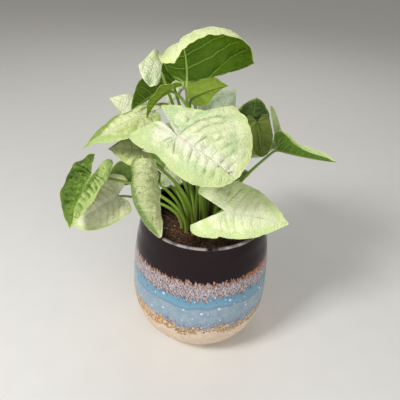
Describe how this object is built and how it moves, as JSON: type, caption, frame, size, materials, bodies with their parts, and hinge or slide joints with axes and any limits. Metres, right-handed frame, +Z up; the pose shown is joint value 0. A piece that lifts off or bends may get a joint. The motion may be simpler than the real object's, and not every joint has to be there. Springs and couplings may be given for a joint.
{
  "type": "potted plant",
  "caption": "Arrowhead plant with pale mottled leaves on arching stalks, standing in soil in a round-bottomed glazed ceramic pot.",
  "frame": {"origin": "centre of the pot's foot, on the ground", "axes": "+Z up the pot's axis, -Y towards the viewer of the picture, +X to its right"},
  "size_m": [0.249, 0.1984, 0.3165],
  "materials": {
    "glazed_pot": "glossy reactive glaze: dark brown rim band, speckled drip band, pale blue body, bare cream foot",
    "potting_soil": "dark, crumbly and dry, with pale bits",
    "leaf_pale": "soft satin, cream to mint green with green mottling",
    "leaf_dark": "satin, deep green with pale veins"
  },
  "bodies": {
    "root": {"pot": "glazed_pot", "soil": "potting_soil", "leaf_centre": "leaf_pale", "leaf_front_right": "leaf_pale", "leaf_front_left": "leaf_pale", "leaf_far_left": "leaf_dark", "leaf_low_left": "leaf_pale", "leaf_shade_left": "leaf_dark", "leaf_olive_left": "leaf_pale", "leaf_long_left": "leaf_pale", "leaf_pale_left": "leaf_pale", "leaf_strip": "leaf_dark", "leaf_small_top": "leaf_pale", "leaf_dark_top": "leaf_dark", "leaf_top": "leaf_pale", "leaf_bright_back": "leaf_dark", "leaf_mid_pale": "leaf_pale", "leaf_blue_back": "leaf_pale", "leaf_dark_right": "leaf_dark", "leaf_olive_right": "leaf_dark", "leaf_right": "leaf_dark", "leaf_small_inner": "leaf_pale", "leaf_back_high": "leaf_pale", "leaf_back_left": "leaf_pale", "leaf_back_right": "leaf_pale", "leaf_back_low": "leaf_pale", "leaf_side_left": "leaf_pale", "leaf_low_right": "leaf_pale"}
  },
  "joints": []
}
